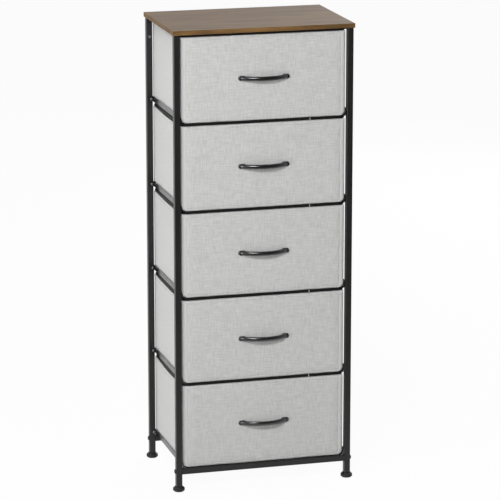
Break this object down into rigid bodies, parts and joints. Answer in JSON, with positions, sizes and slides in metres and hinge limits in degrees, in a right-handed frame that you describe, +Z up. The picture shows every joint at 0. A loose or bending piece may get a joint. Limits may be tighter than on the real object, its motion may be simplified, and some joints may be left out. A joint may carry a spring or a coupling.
{
  "type": "chest of drawers",
  "caption": "Tall narrow chest with grey fabric drawers and black bow handles in a black steel tube frame under a wood-grain top board.",
  "frame": {"origin": "on the floor, midway across and midway between handles and back feet", "axes": "+X to the right seen from the front, +Y towards the back, +Z up; the drawers open towards -Y"},
  "size_m": [0.458, 0.322, 1.14],
  "materials": {
    "black_steel": "semi-gloss powder coat",
    "wood_laminate": "matt wood-grain laminate",
    "linen_fabric": "linen-look woven cover",
    "grey_fabric": "smooth non-woven cloth",
    "base_board": "fibreboard in grey cloth",
    "handle_gloss_black": "glossy black",
    "black_plastic": "moulded black",
    "zinc_steel": "bright zinc"
  },
  "bodies": {
    "frame": {"top_board": "wood_laminate", "post_front_left": "black_steel", "post_front_right": "black_steel", "post_back_left": "black_steel", "post_back_right": "black_steel", "rail_front": "black_steel", "rail_back": "black_steel", "rail_left": "black_steel", "rail_right": "black_steel", "rail_plugs": "black_plastic", "rail_bolts": "black_steel", "foot_plugs": "black_plastic", "ring_top": "black_steel", "ring_1": "black_steel", "ring_2": "black_steel", "ring_3": "black_steel", "ring_4": "black_steel", "runners_1": "black_plastic", "runners_2": "black_plastic", "runners_3": "black_plastic", "runners_4": "black_plastic", "runners_5": "black_plastic", "runner_screws": "zinc_steel", "top_brackets": "black_steel", "bracket_screws": "zinc_steel", "board_screws": "zinc_steel"},
    "drawer_1": {"drawer_1_front": "linen_fabric", "drawer_1_bin": "grey_fabric", "drawer_1_base": "base_board", "drawer_1_handle": "handle_gloss_black", "drawer_1_handle_screws": "zinc_steel"},
    "drawer_2": {"drawer_2_front": "linen_fabric", "drawer_2_bin": "grey_fabric", "drawer_2_base": "base_board", "drawer_2_handle": "handle_gloss_black", "drawer_2_handle_screws": "zinc_steel"},
    "drawer_3": {"drawer_3_front": "linen_fabric", "drawer_3_bin": "grey_fabric", "drawer_3_base": "base_board", "drawer_3_handle": "handle_gloss_black", "drawer_3_handle_screws": "zinc_steel"},
    "drawer_4": {"drawer_4_front": "linen_fabric", "drawer_4_bin": "grey_fabric", "drawer_4_base": "base_board", "drawer_4_handle": "handle_gloss_black", "drawer_4_handle_screws": "zinc_steel"},
    "drawer_5": {"drawer_5_front": "linen_fabric", "drawer_5_bin": "grey_fabric", "drawer_5_base": "base_board", "drawer_5_handle": "handle_gloss_black", "drawer_5_handle_screws": "zinc_steel"},
    "foot_front_left": {"foot_front_left": "black_plastic"},
    "foot_front_right": {"foot_front_right": "black_plastic"},
    "foot_back_left": {"foot_back_left": "black_plastic"},
    "foot_back_right": {"foot_back_right": "black_plastic"}
  },
  "joints": [
    {"name": "drawer_1_slide", "type": "slide", "parent": "frame", "child": "drawer_1", "axis": [0, -1, 0], "range_m": [0, 0.22]},
    {"name": "drawer_2_slide", "type": "slide", "parent": "frame", "child": "drawer_2", "axis": [0, -1, 0], "range_m": [0, 0.22]},
    {"name": "drawer_3_slide", "type": "slide", "parent": "frame", "child": "drawer_3", "axis": [0, -1, 0], "range_m": [0, 0.22]},
    {"name": "drawer_4_slide", "type": "slide", "parent": "frame", "child": "drawer_4", "axis": [0, -1, 0], "range_m": [0, 0.22]},
    {"name": "drawer_5_slide", "type": "slide", "parent": "frame", "child": "drawer_5", "axis": [0, -1, 0], "range_m": [0, 0.22]},
    {"name": "foot_front_left_turn", "type": "hinge", "parent": "frame", "child": "foot_front_left", "pos_m": [-0.2145, -0.1345, 0.012], "axis": [0, 0, 1], "range_deg": [-180, 180]},
    {"name": "foot_front_right_turn", "type": "hinge", "parent": "frame", "child": "foot_front_right", "pos_m": [0.2145, -0.1345, 0.012], "axis": [0, 0, 1], "range_deg": [-180, 180]},
    {"name": "foot_back_left_turn", "type": "hinge", "parent": "frame", "child": "foot_back_left", "pos_m": [-0.2145, 0.1465, 0.012], "axis": [0, 0, 1], "range_deg": [-180, 180]},
    {"name": "foot_back_right_turn", "type": "hinge", "parent": "frame", "child": "foot_back_right", "pos_m": [0.2145, 0.1465, 0.012], "axis": [0, 0, 1], "range_deg": [-180, 180]}
  ]
}
